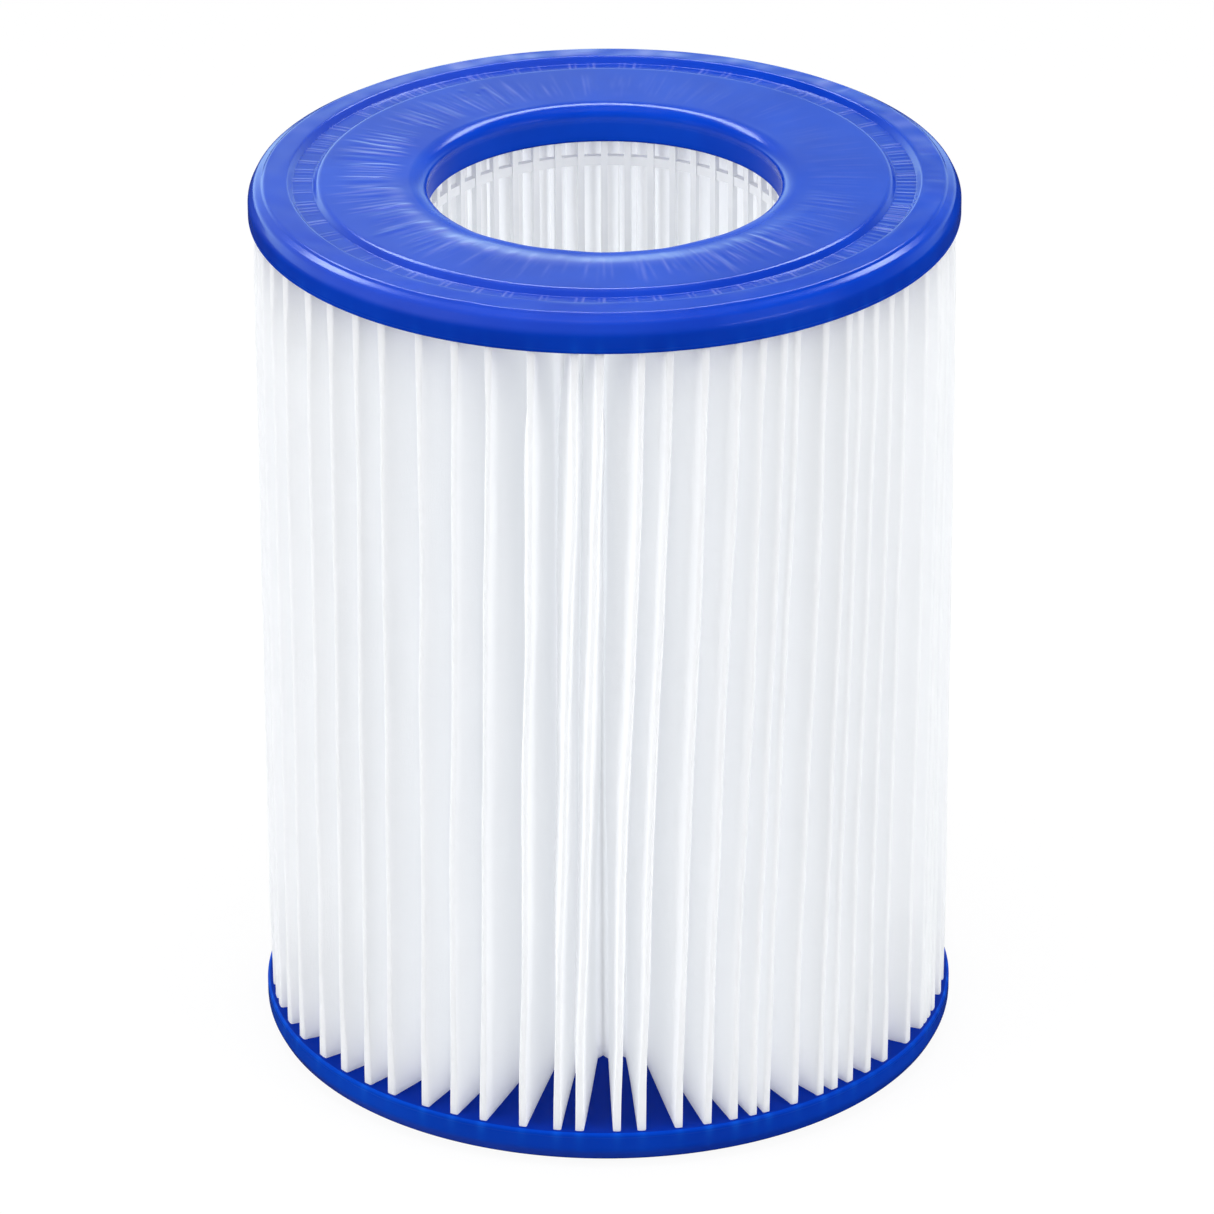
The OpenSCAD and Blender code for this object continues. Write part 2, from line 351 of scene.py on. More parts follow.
    rr = r + nr * push
    dd = d + nd * push
    dd = np.minimum(dd, CAP_T + 0.25)
    z = dd if flip else H - dd
    a = np.radians(T2)
    x, y = rr * np.sin(a), -rr * np.cos(a)
    verts = np.stack([x, y, z], -1).reshape(-1, 3)
    quads = grid_quads(N_RING, P, True, True, flip=not flip)
    if flip:                           # painted light: the lower cap's wall is paler to the left, and a little paler all round
        thin += 0.32 * smooth((-wrapdeg(T2) + 5) / 60) * (r > R_OUT - 0.9) * smooth((d - 1.5) / 1.5)
        thin += 0.10 * (r > R_OUT - 0.9) * smooth((d - 1.5) / 1.5)
    # painted shade: the potted side, seen between the pleats, is darkened
    shade = smooth((d - (CAP_T - 0.5)) / 0.4) * (r < 52.6)
    dull = np.maximum(shade, smooth((d - (CAP_T - 0.9)) / 0.4))
    dull = np.maximum(dull, 0.85 * smooth((28.0 - r) / 1.0) * smooth((d - 1.9) / 0.8))
    # the near lip is rubbed and mirrors little
    dull = np.maximum(dull, 0.72 * smooth((29.6 - r) / 0.8) * smooth(1.25 - np.abs(wrapdeg(T2)) / 85))
    # painted light: the bore wall below the lip is made a paler blue, as if more light reached it
    thin += 0.5 * smooth((28.2 - r) / 1.0) * smooth((d - 1.0) / 1.0) * (1 - shade)
    attrs = {"thin": np.clip(thin, 0, 1) * streak, "shade": shade, "dull": dull,
             "bloom": np.clip(bloom, 0, 1) * (1 - smooth((d - 2.0) / 1.0))}
    return make_object(name, verts, quads, mats=[material], attrs=attrs)


# ---------------------------------------------------------------- media
def pleat_tables():
    """Per pleat: tip angle at the lower and upper cap, and tip half widths."""
    g = rng(4117)
    low = TIP.copy()
    # the pack is twisted a little, most at the right of the front
    tw = np.zeros(NP)
    keys = np.array([-180, -130, -90, -60, -32, -14, 0, 12, 25, 50, 80, 120, 150, 180.0])
    vals = np.array([1.5, 0.5, 0.0, 0.4, 1.2, 3.0, 4.6, 4.4, 5.4, 4.0, 3.0, 2.4, 2.0, 1.5])
    tw = np.interp(wrapdeg(low), keys, vals)
    high = low + tw + g.uniform(-0.35, 0.35, NP)
    side = np.abs(wrapdeg(low))
    half = 0.62 + 0.36 * smooth((side - 20) / 50) * np.where(wrapdeg(low) < 0, 1.0, 0.55)
    half *= g.uniform(0.94, 1.07, NP)
    return low, high, half


LOW, HIGH, HALF = pleat_tables()
EMBED = 1.3


def level_heights(n_end, n_mid):
    """Heights, closer together near the caps."""
    a = FLOOR_Z - EMBED + (1 - np.cos(np.linspace(0, math.pi / 2, n_end))) * 17
    b = np.linspace(a[-1], (CEIL_Z + EMBED) - (a[-1] - a[0]), n_mid)[1:-1]
    c = (CEIL_Z + EMBED) - (a - a[0])[::-1]
    return np.concatenate([a, b, c])


def noise_1d(z, g, amp, waves=((1, 1.0), (2, 0.8), (3, 0.6), (5, 0.35), (8, 0.18))):
    out = np.zeros_like(z)
    for k, w in waves:
        out += w * g.uniform(0.3, 1.0) * np.sin(TAU * k * z / (H * 1.07) + g.uniform(0, TAU))
    return out * amp


def build_media(name, material, thick=0.42, levels=(18, 34)):
    g = rng(90210)
    z = level_heights(*levels)
    nz = len(z)
    r_in = 29.0                        # outer surface at the valley
    # distance in from the tip, for the points of one wall
    # rounded tip, then wall
    t_tip = np.radians([90, 68, 46, 26, 10])
    walls = np.array([0.75, 1.25, 1.9, 2.8, 4.0, 5.6, 7.6, 10.5, 14.5, 19.0, 22.4])
    f_low = smooth((z - FLOOR_Z) / (CEIL_Z - FLOOR_Z))
    f_lin = np.clip((z - FLOOR_Z) / (CEIL_Z - FLOOR_Z), 0, 1)
    up = np.maximum(z - FLOOR_Z, 0)     # height over the lower cap
    dn = np.maximum(CEIL_Z - z, 0)      # depth under the upper cap

    tip_ang = np.zeros((NP, nz))
    tip_r = np.zeros((NP, nz))
    half = np.zeros((NP, nz))
    for i in range(NP):
        mid = smooth(up / 14) * smooth(dn / 14)
        wob = noise_1d(z, g, 0.16) * mid
        f = 0.55 * f_low + 0.45 * f_lin
        tip_ang[i] = LOW[i] + (HIGH[i] - LOW[i]) * f + wob
        tip_r[i] = 52.22 + 0.12 * mid + noise_1d(z, g, 0.05) * mid + g.uniform(-0.08, 0.06) * mid
        w_mid = g.uniform(0.47, 0.56)
        half[i] = HALF[i] + (w_mid + 0.10 * max(HALF[i] - 0.72, 0) - HALF[i]) * smooth(up / 16) * smooth(dn / 12)
    nxt = np.roll(np.arange(NP), -1)
    gap = wrapdeg(tip_ang[nxt] - tip_ang) % 360     # to the next tip, degrees
    gap_mm = np.radians(gap) * 52.0
    # how far each groove has closed, 0 at the caps and 1 in between
    close_lo = 13.0 + 9.0 * np.clip(gap_mm.mean(1) - 2.6, 0, 4) ** 1.15
    close_hi = 7.0 + 3.5 * np.clip(gap_mm.mean(1) - 2.6, 0, 4)
    close_lo *= g.uniform(0.85, 1.2, NP)
    close_hi *= g.uniform(0.85, 1.2, NP)
    # the wide groove beside the front pleat stays open for longest
    front = int(np.argmin(np.abs(wrapdeg(LOW + 4.9))))
    close_lo[front] = 75.0
    # to the left, and less so to the right, the walls touch almost at the surface
    mid_a = wrapdeg(LOW + np.degrees(gap_mm.mean(1) / 104.0))
    tight = 0.62 * smooth((-mid_a - 36) / 16) + 0.42 * smooth((mid_a - 46) / 16)
    close_lo *= 1 - 0.6 * tight
    C = smooth(up[None] / close_lo[:, None]) * smooth(dn[None] / close_hi[:, None])
    # depth of the groove between two tips where it has closed, mm
    depth = g.uniform(7.5, 10.5, NP)[:, None] + 2.2 * np.clip(gap_mm - 4.5, -2, 3)
    depth = np.maximum(depth, 4.5) * (1 - tight[:, None])

    # phases for slow crumple of every wall
    ph = g.uniform(0, TAU, (NP, 2, 5))

    def wall(i, side):
        """Points of one wall of pleat i, from its tip to the valley: arrays
        (points, nz) of radius and of tangential offset from the pleat's plane."""
        gi = gap_mm[i] if side > 0 else gap_mm[(i - 1) % NP]
        ci = C[i] if side > 0 else C[(i - 1) % NP]
        di = depth[i] if side > 0 else depth[(i - 1) % NP]
        hw = half[i]
        R = tip_r[i]
        p_exp = 2.0 + 2.2 * (1 - ci)
        rad, off = [], []
        for t in t_tip:
            # superellipse tip: blunt at the caps, round between them
            cs, sn = np.cos(t), np.sin(t)
            ox = hw * np.abs(cs) ** (2 / p_exp)
            oy = 0.58 * np.abs(sn) ** (2 / p_exp)
            rad.append(R - 0.58 + oy)
            off.append(ox)
        for k, dl in enumerate(walls):
            rho = R - dl
            rho = np.maximum(rho, r_in)
            fr = (rho - r_in) / (R - r_in)
            # half the pitch at this radius: even at the folds, uneven at the tips
            lim = (np.radians(360 / NP) * rho / 2) * (1 - fr) + (gi / 2 * rho / 52.0) * fr
            if side > 0:
                pass
            pinched = np.minimum(hw + (0.51 - hw) * smooth((1 - fr) * 1.15), lim - 0.10)
            t_ = np.clip((dl - 0.45) / di, 0, 1)
            grow = t_ * (1.15 - 0.15 * t_ * t_)
            cap_w = hw + np.minimum(lim - 0.08 - hw, 2.35)
            full = hw + (cap_w - hw) * np.minimum(grow, 1.0)
            full = np.minimum(full, lim - 0.08)
            full = pinched + (full - pinched) * smooth(fr / 0.55)
            o = pinched + (full - pinched) * ci
            s = ph[i, 0 if side > 0 else 1]
            ripple = (0.10 * np.sin(TAU * z / 61 + s[0]) + 0.06 * np.sin(TAU * z / 27 + s[1] + dl * 0.3)
                      + 0.030 * np.sin(TAU * z / 13 + s[2] - dl * 0.5))
            o = o + ripple * ci * smooth(fr / 0.4) * smooth((dl - 0.9) / 2.5) * np.clip((lim - o) / 0.4 + 0.15, 0, 1)
            o = np.minimum(o, lim - 0.05)
            rad.append(rho)
            off.append(o)
        return np.array(rad), np.array(off)

    # the sheet's dirty-side line, one closed loop per level, pleat by pleat
    strip_r, strip_a = [], []
    order = [(SEAM + k) % NP for k in range(NP + 1)]
    for n, i in enumerate(order):
        base = LOW[i]
        rl, ol = wall(i, -1)
        rr_, orr = wall(i, +1)
        turns = 0.0 if n < NP else 1.0
        centre_t = tip_ang[i]
        fc_l, fc_r = FOLD[i], FOLD[(i + 1) % NP] + (360 if i == NP - 1 else 0)
        centre_f = (fc_l + fc_r) / 2

        def plane(rho, R):
            fr = np.clip((rho - r_in) / (R - r_in), 0, 1)
            return centre_f + wrapdeg(centre_t - centre_f) * fr

        left_r, left_a = rl[::-1], (plane(rl, tip_r[i]) - np.degrees(ol / rl))[::-1]
        right_r, right_a = rr_, plane(rr_, tip_r[i]) + np.degrees(orr / rr_)
        tip_r_mid = tip_r[i][None]
        tip_a_mid = centre_t[None]
        pr, pa = [], []
        if n > 0:                      # left wall, valley to tip
            pr.append(left_r)
            pa.append(left_a)
        if n < NP:                     # right wall, tip to valley
            # the point at the very top of the tip is shared
            pr.append(right_r[1:] if n > 0 else right_r)
            pa.append(right_a[1:] if n > 0 else right_a)
        pr, pa = np.concatenate(pr), np.concatenate(pa)
        if n == 0:                     # strip starts beside the glue
            pr, pa = pr[3:], pa[3:]
        if n == NP:
            pr, pa = pr[:-3], pa[:-3]
            pa = pa + 0.0
        if n < NP:                     # valley, a small round between the walls
            j = (i + 1) % NP
            va = FOLD[j] + (360 if j == 0 else 0)
            pr = np.concatenate([pr, np.full((1, nz), r_in - 0.22)])
            pa = np.concatenate([pa, np.full((1, nz), va)])
        strip_r.append(pr)
        strip_a.append(pa)
    # unwrap the angles so that they rise steadily along the strip
    Rm = np.concatenate(strip_r)
    Am = np.concatenate(strip_a)
    for k in range(1, len(Am)):
        Am[k] = Am[k] + 360 * np.round((Am[k - 1] - Am[k]) / 360)
    a = np.radians(Am)
    X, Y = Rm * np.sin(a), -Rm * np.cos(a)
    outer = np.stack([X, Y], -1)                      # (n, nz, 2)
    # clean side: offset along the line's normal
    t = np.zeros_like(outer)
    t[1:-1] = outer[2:] - outer[:-2]
    t[0], t[-1] = outer[1] - outer[0], outer[-1] - outer[-2]
    t /= np.maximum(np.linalg.norm(t, axis=-1, keepdims=True), 1e-9)
    nrm = np.stack([-t[..., 1], t[..., 0]], -1)       # to the inside of the strip
    inner = outer + nrm * thick
    n = len(outer)
    zz = np.repeat(z[None, :, None], n, 0)
    vo = np.concatenate([outer, zz], -1)
    vi = np.concatenate([inner, zz], -1)
    verts = np.concatenate([vo.reshape(-1, 3), vi.reshape(-1, 3)])
    q = [grid_quads(n, nz, False, False, 0, False),
         grid_quads(n, nz, False, False, n * nz, True)]
    # close the lower and upper edges and the two ends of the strip
    idx = np.arange(n) * nz
    off = n * nz
    q.append(np.stack([idx[:-1], idx[:-1] + off, idx[1:] + off, idx[1:]], -1))
    idx = idx + nz - 1
    q.append(np.stack([idx[:-1], idx[1:], idx[1:] + off, idx[:-1] + off], -1))
    iz = np.arange(nz)
    q.append(np.stack([iz[:-1], iz[1:], iz[1:] + off, iz[:-1] + off], -1))
    e = (n - 1) * nz
    q.append(np.stack([e + iz[:-1], e + iz[:-1] + off, e + iz[1:] + off, e + iz[1:]], -1))
    rho = np.hypot(verts[:, 0], verts[:, 1])
    # painted glow: the clean side near the bore is made to glow more
    inside = smooth((33.5 - rho) / 3.5) * (np.arange(len(verts)) >= n * nz)
    obj = make_object(name, verts, np.concatenate(q), mats=[material], attrs={"inside": inside})
    info = {"z": z, "tip_ang": tip_ang, "tip_r": tip_r, "half": half}
    return obj, info


def build_seam(name, info, material):
    """Hot-melt bead that closes the two sheet ends at the tip of one pleat."""
    g = rng(33)
    z = np.linspace(FLOOR_Z - 0.8, CEIL_Z + 0.8, 180)
    ang = np.interp(z, info["z"], info["tip_ang"][SEAM])
    rad = np.interp(z, info["z"], info["tip_r"][SEAM])
    half = np.interp(z, info["z"], info["half"][SEAM])
    nb = 28
    k = np.arange(nb) / nb * TAU
    lump = 0.05 * np.sin(z * 0.9 + 1) + 0.04 * np.sin(z * 2.3) + 0.03 * np.sin(z * 0.31 + 2)
    rows = []
    for j in range(len(z)):
        w = half[j] * (0.92 + lump[j])
        # section: round over the tip, tapering to a web between the sheet ends
        u = np.cos(k)
        v = np.sin(k)
        du = np.where(v > 0, w * u, w * u * (1 - 0.55 * smooth(-v)))
        dv = np.where(v > 0, 0.62 * v, 4.5 * v)
        r_ = rad[j] - 0.66 + dv
        a_ = np.radians(ang[j]) + du / r_
        rows.append(np.stack([r_ * np.sin(a_), -r_ * np.cos(a_), np.full(nb, z[j])], -1))
    verts = np.concatenate(rows)
    quads = grid_quads(len(z), nb, False, True)
    c0, c1 = len(verts), len(verts) + 1
    verts = np.concatenate([verts, [rows[0].mean(0), rows[-1].mean(0)]])
    i0 = np.arange(nb)
    i1 = (len(z) - 1) * nb + np.arange(nb)
    tris = np.concatenate([
        np.stack([np.full(nb, c0), np.roll(i0, -1), i0], -1)[:, ::-1],
        np.stack([np.full(nb, c1), i1, np.roll(i1, -1)], -1)[:, ::-1]])
    return make_object(name, verts, quads[:, ::-1] if False else quads, tris, [material])


# ---------------------------------------------------------------- materials
def new_material(name):
    m = bpy.data.materials.new(name)
    m.use_nodes = True
    nt = m.node_tree
    nt.nodes.clear()
    out = nt.nodes.new("ShaderNodeOutputMaterial")
    bsdf = nt.nodes.new("ShaderNodeBsdfPrincipled")
    nt.links.new(bsdf.outputs["BSDF"], out.inputs["Surface"])
    return m, nt, bsdf, out


def node(nt, kind, **inputs):
    n = nt.nodes.new(kind)
    for k, v in inputs.items():
        if k.startswith("_"):
            setattr(n, k[1:], v)
        else:
            n.inputs[k.replace("__", " ")].default_value = v
    return n


def obj_coords(nt, scale=(1, 1, 1)):
    tc = nt.nodes.new("ShaderNodeTexCoord")
    mp = nt.nodes.new("ShaderNodeMapping")
    mp.inputs["Scale"].default_value = scale
    nt.links.new(tc.outputs["Object"], mp.inputs["Vector"])
    return mp.outputs["Vector"]


def ramp(nt, fac, stops):
    r = nt.nodes.new("ShaderNodeValToRGB")
    els = r.color_ramp.elements
    while len(els) > 1:
        els.remove(els[-1])
    els[0].position, els[0].color = stops[0]
    for p, c in stops[1:]:
        e = els.new(p)
        e.color = c
    nt.links.new(fac, r.inputs["Fac"])
    return r.outputs["Color"]


def mix_rgb(nt, fac, a, b):
    m = nt.nodes.new("ShaderNodeMix")
    m.data_type = "RGBA"
    for sock, v in ((m.inputs[0], fac), (m.inputs[6], a), (m.inputs[7], b)):
        if isinstance(v, bpy.types.NodeSocket):
            nt.links.new(v, sock)
        else:
            sock.default_value = v
    return m.outputs[2]


def cap_material():
    m, nt, b, out = new_material("soft_blue_vinyl")
    L = nt.links.new
    deep = (0.0002, 0.0345, 0.418, 1)
    light = (0.0004, 0.0450, 0.485, 1)
    n1 = node(nt, "ShaderNodeTexNoise", Scale=70.0, Detail=3.0, Roughness=0.5)
    L(obj_coords(nt), n1.inputs["Vector"])
    base = ramp(nt, n1.outputs["Fac"], [(0.35, deep), (0.68, light)])
    # paler blue where the vinyl is thin, and painted light on the lower cap's wall and on the bore
    at = nt.nodes.new("ShaderNodeAttribute")
    at.attribute_name = "thin"
    k = node(nt, "ShaderNodeMath", _operation="MULTIPLY")
    k.inputs[1].default_value = 0.55
    L(at.outputs["Fac"], k.inputs[0])
    col = mix_rgb(nt, k.outputs[0], base, (0.006, 0.105, 0.66, 1))
    # painted sheen: lilac patches standing in for highlights
    blm = nt.nodes.new("ShaderNodeAttribute")
    blm.attribute_name = "bloom"
    kb = node(nt, "ShaderNodeMath", _operation="MULTIPLY")
    kb.inputs[1].default_value = 0.60
    L(blm.outputs["Fac"], kb.inputs[0])
    col = mix_rgb(nt, kb.outputs[0], col, (0.200, 0.235, 0.62, 1))
    # painted shade: the potted side is darkened
    sh = nt.nodes.new("ShaderNodeAttribute")
    sh.attribute_name = "shade"
    col = mix_rgb(nt, sh.outputs["Fac"], col, (0.0001, 0.021, 0.29, 1))
    L(col, b.inputs["Base Color"])
    du = nt.nodes.new("ShaderNodeAttribute")
    du.attribute_name = "dull"
    sp = node(nt, "ShaderNodeMath", _operation="MULTIPLY_ADD")
    L(du.outputs["Fac"], sp.inputs[0])
    sp.inputs[1].default_value = -0.23
    sp.inputs[2].default_value = 0.25
    L(sp.outputs[0], b.inputs["Specular IOR Level"])
    # roughness: satin, patchy, with faint fine haze
    n2 = node(nt, "ShaderNodeTexNoise", Scale=240.0, Detail=4.0, Roughness=0.6)
    L(obj_coords(nt), n2.inputs["Vector"])
    mr = node(nt, "ShaderNodeMapRange")
    mr.inputs["From Min"].default_value = 0.3
    mr.inputs["From Max"].default_value = 0.7
    mr.inputs["To Min"].default_value = 0.15
    mr.inputs["To Max"].default_value = 0.21
    L(n2.outputs["Fac"], mr.inputs["Value"])
    ro = node(nt, "ShaderNodeMath", _operation="MULTIPLY_ADD")
    L(du.outputs["Fac"], ro.inputs[0])
    ro.inputs[1].default_value = 0.24
    L(mr.outputs["Result"], ro.inputs[2])
    L(ro.outputs[0], b.inputs["Roughness"])
    n3 = node(nt, "ShaderNodeTexNoise", Scale=900.0, Detail=2.0, Roughness=0.5)
    L(obj_coords(nt), n3.inputs["Vector"])
    n4 = node(nt, "ShaderNodeTexNoise", Scale=160.0, Detail=2.0, Roughness=0.5)
    L(obj_coords(nt), n4.inputs["Vector"])
    add = node(nt, "ShaderNodeMath", _operation="MULTIPLY_ADD")
    L(n4.outputs["Fac"], add.inputs[0])
    add.inputs[1].default_value = 2.5
    L(n3.outputs["Fac"], add.inputs[2])
    bp = node(nt, "ShaderNodeBump", Strength=0.05, Distance=0.00004)
    L(add.outputs[0], bp.inputs["Height"])
    L(bp.outputs["Normal"], b.inputs["Normal"])
    return m


def fleece_material():
    m, nt, b, out = new_material("white_spunbond_fleece")
    L = nt.links.new
    # long soft streaks along the pleats, and fibre mottle
    n1 = node(nt, "ShaderNodeTexNoise", Scale=1.0, Detail=3.0, Roughness=0.55)
    L(obj_coords(nt, (900, 900, 45)), n1.inputs["Vector"])
    n2 = node(nt, "ShaderNodeTexNoise", Scale=420.0, Detail=5.0, Roughness=0.65)
    L(obj_coords(nt), n2.inputs["Vector"])
    mixn = node(nt, "ShaderNodeMath", _operation="MULTIPLY_ADD")
    L(n1.outputs["Fac"], mixn.inputs[0])
    mixn.inputs[1].default_value = 0.6
    sc = node(nt, "ShaderNodeMath", _operation="MULTIPLY")
    sc.inputs[1].default_value = 0.4
    L(n2.outputs["Fac"], sc.inputs[0])
    L(sc.outputs[0], mixn.inputs[2])
    col = ramp(nt, mixn.outputs[0], [(0.30, (0.952, 0.958, 0.966, 1)),
                                     (0.55, (0.970, 0.974, 0.979, 1)),
                                     (0.75, (0.982, 0.984, 0.987, 1))])
    L(col, b.inputs["Base Color"])
    b.inputs["Roughness"].default_value = 0.85
    b.inputs["Specular IOR Level"].default_value = 0.15
    b.inputs["Sheen Weight"].default_value = 0.08
    b.inputs["Sheen Roughness"].default_value = 0.5
    # fibres: thin crossing strands
    f1 = node(nt, "ShaderNodeTexNoise", Scale=1.0, Detail=2.0, Roughness=0.5, Distortion=0.6)
    L(obj_coords(nt, (5200, 5200, 900)), f1.inputs["Vector"])
    f2 = node(nt, "ShaderNodeTexNoise", Scale=1.0, Detail=2.0, Roughness=0.5, Distortion=0.8)
    L(obj_coords(nt, (1500, 1500, 5200)), f2.inputs["Vector"])
    ad = node(nt, "ShaderNodeMath", _operation="ADD")
    L(f1.outputs["Fac"], ad.inputs[0])
    L(f2.outputs["Fac"], ad.inputs[1])
    bp = node(nt, "ShaderNodeBump", Strength=0.25, Distance=0.00012)
    L(ad.outputs[0], bp.inputs["Height"])
    L(bp.outputs["Normal"], b.inputs["Normal"])
    # light comes through the thin sheet
    tr = node(nt, "ShaderNodeBsdfTranslucent")
    L(col, tr.inputs["Color"])
    L(bp.outputs["Normal"], tr.inputs["Normal"])
    # painted glow: emission stands in for light that has come through the pack, more on the clean side near the bore
    b.inputs["Emission Color"].default_value = (0.985, 1.0, 1.025, 1)
    ins = nt.nodes.new("ShaderNodeAttribute")
    ins.attribute_name = "inside"
    gm = node(nt, "ShaderNodeMath", _operation="MULTIPLY_ADD")
    L(ins.outputs["Fac"], gm.inputs[0])
    gm.inputs[1].default_value = 1.15 * GLOW / 0.62
    gm.inputs[2].default_value = GLOW / 0.62
    L(gm.outputs[0], b.inputs["Emission Strength"])
    mx = nt.nodes.new("ShaderNodeMixShader")
    mx.inputs[0].default_value = 0.38
    L(b.outputs["BSDF"], mx.inputs[1])
    L(tr.outputs["BSDF"], mx.inputs[2])
    L(mx.outputs[0], out.inputs["Surface"])
    return m


def core_material():
    m, nt, b, out = new_material("natural_white_polypropylene")
    L = nt.links.new
    n1 = node(nt, "ShaderNodeTexNoise", Scale=120.0, Detail=3.0, Roughness=0.5)
    L(obj_coords(nt), n1.inputs["Vector"])
    col = ramp(nt, n1.outputs["Fac"], [(0.35, (0.79, 0.80, 0.81, 1)), (0.7, (0.84, 0.845, 0.85, 1))])
    L(col, b.inputs["Base Color"])
    mr = node(nt, "ShaderNodeMapRange")
    mr.inputs["To Min"].default_value = 0.38
    mr.inputs["To Max"].default_value = 0.55
    L(n1.outputs["Fac"], mr.inputs["Value"])
    L(mr.outputs["Result"], b.inputs["Roughness"])
    # painted glow: a little emission stands in for light through the translucent plastic
    b.inputs["Emission Color"].default_value = (0.97, 0.99, 1.0, 1)
    b.inputs["Emission Strength"].default_value = 0.08
    n2 = node(nt, "ShaderNodeTexNoise", Scale=700.0, Detail=2.0, Roughness=0.5)
    L(obj_coords(nt), n2.inputs["Vector"])
    bp = node(nt, "ShaderNodeBump", Strength=0.15, Distance=0.00005)
    L(n2.outputs["Fac"], bp.inputs["Height"])
    L(bp.outputs["Normal"], b.inputs["Normal"])
    return m


def glue_material():
    m, nt, b, out = new_material("hot_melt_glue")
    L = nt.links.new
    n1 = node(nt, "ShaderNodeTexNoise", Scale=260.0, Detail=3.0, Roughness=0.5)
    L(obj_coords(nt), n1.inputs["Vector"])
    col = ramp(nt, n1.outputs["Fac"], [(0.35, (0.82, 0.79, 0.69, 1)), (0.7, (0.90, 0.88, 0.79, 1))])
    L(col, b.inputs["Base Color"])
    b.inputs["Roughness"].default_value = 0.32
    # painted glow: the glue bead gives off a little light of its own
    b.inputs["Emission Color"].default_value = (1.0, 0.96, 0.86, 1)
    b.inputs["Emission Strength"].default_value = 0.07
    b.inputs["Subsurface Weight"].default_value = 0.3
    b.inputs["Subsurface Radius"].default_value = (1.0, 0.9, 0.7)
    b.inputs["Subsurface Scale"].default_value = 0.0008
    bp = node(nt, "ShaderNodeBump", Strength=0.3, Distance=0.0001)
    L(n1.outputs["Fac"], bp.inputs["Height"])
    L(bp.outputs["Normal"], b.inputs["Normal"])
    return m


# ---------------------------------------------------------------- build
vinyl = cap_material()
fleece = fleece_material()
pp = core_material()
glue = glue_material()

cap_top = build_cap("top_cap", False, HIGH, vinyl, 11, 0.45)
cap_bottom = build_cap("bottom_cap", True, LOW, vinyl, 23, 1.0)
media, info = build_media("pleated_sheet", fleece)
seam = build_seam("seam_bead", info, glue)

for piece, cad, slot in ((cap_top, "top_end_cap", "cap_plastisol"),
                         (cap_bottom, "bottom_end_cap", "cap_plastisol"),
                         (media, "pleated_media", "media_fleece"),
                         (seam, "seam_glue", "hot_melt")):
    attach(piece, "root")
    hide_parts(cad)

for n in ("core_upper_section", "core_lower_section"):
    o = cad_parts[n]
    o.data.materials.clear()
    o.data.materials.append(pp)

# ---------------------------------------------------------------- stage
def build_floor():
    mesh = bpy.data.meshes.new("floor")
    s = 6.0
    mesh.from_pydata([(-s, -s, 0), (s, -s, 0), (s, s, 0), (-s, s, 0)], [], [(0, 1, 2, 3)])
    obj = bpy.data.objects.new("floor", mesh)
    bpy.context.scene.collection.objects.link(obj)
    m, nt, b, out = new_material("pale_floor")
    L = nt.links.new
    nt.nodes.remove(b)
    df = node(nt, "ShaderNodeBsdfDiffuse")
    lp = nt.nodes.new("ShaderNodeLightPath")
    # bright to the eye, greyer in what it bounces, and dull in reflections
    shade = mix_rgb(nt, lp.outputs["Is Camera Ray"], (0.34, 0.34, 0.35, 1), (0.92, 0.92, 0.93, 1))
    shade = mix_rgb(nt, lp.outputs["Is Glossy Ray"], shade, (0.03, 0.03, 0.035, 1))
    L(shade, df.inputs["Color"])
    em = node(nt, "ShaderNodeEmission")
    em.inputs["Color"].default_value = (1, 1, 1, 1)
    em.inputs["Strength"].default_value = 1.0
    k = node(nt, "ShaderNodeMath", _operation="MULTIPLY")
    k.inputs[1].default_value = 0.93
    L(lp.outputs["Is Camera Ray"], k.inputs[0])
    mx = nt.nodes.new("ShaderNodeMixShader")
    L(k.outputs[0], mx.inputs[0])
    L(df.outputs["BSDF"], mx.inputs[1])
    L(em.outputs[0], mx.inputs[2])
    L(mx.outputs[0], out.inputs["Surface"])
    mesh.materials.append(m)
    return obj


floor = build_floor()
floor.location.z = -0.00015

world = bpy.data.worlds.new("studio")
bpy.context.scene.world = world
world.use_nodes = True
wt = world.node_tree
wt.nodes.clear()
WL = wt.links.new
w_out = wt.nodes.new("ShaderNodeOutputWorld")
w_lp = wt.nodes.new("ShaderNodeLightPath")
bg_cam = wt.nodes.new("ShaderNodeBackground")
bg_cam.inputs["Color"].default_value = (1, 1, 1, 1)
bg_cam.inputs["Strength"].default_value = 1.0
bg_dif = wt.nodes.new("ShaderNodeBackground")
bg_dif.inputs["Color"].default_value = (0.975, 0.988, 1.0, 1)
bg_dif.inputs["Strength"].default_value = W_DIF
# what the vinyl mirrors: a dim room, with a pale wall behind the object
bg_gl = wt.nodes.new("ShaderNodeBackground")
bg_gl.inputs["Color"].default_value = (0.66, 0.98, 1.06, 1)
geo = wt.nodes.new("ShaderNodeTexCoord")
sep = wt.nodes.new("ShaderNodeSeparateXYZ")
WL(geo.outputs["Generated"], sep.inputs[0])
back = wt.nodes.new("ShaderNodeMapRange")
back.inputs["From Min"].default_value = -0.05
back.inputs["From Max"].default_value = 0.65
back.inputs["To Min"].default_value = 0.02
back.inputs["To Max"].default_value = 1.0
WL(sep.outputs["Y"], back.inputs["Value"])
high = ramp(wt, sep.outputs["Z"], [(0.0, (1.0, 1.0, 1.0, 1)), (0.18, (1.0, 1.0, 1.0, 1)),
                                   (0.30, (0.50, 0.50, 0.50, 1)), (0.44, (0.34, 0.34, 0.34, 1)),
                                   (0.60, (0.20, 0.20, 0.20, 1)), (0.80, (0.10, 0.10, 0.10, 1))])
mul = wt.nodes.new("ShaderNodeMath")
mul.operation = "MULTIPLY"
WL(back.outputs[0], mul.inputs[0])
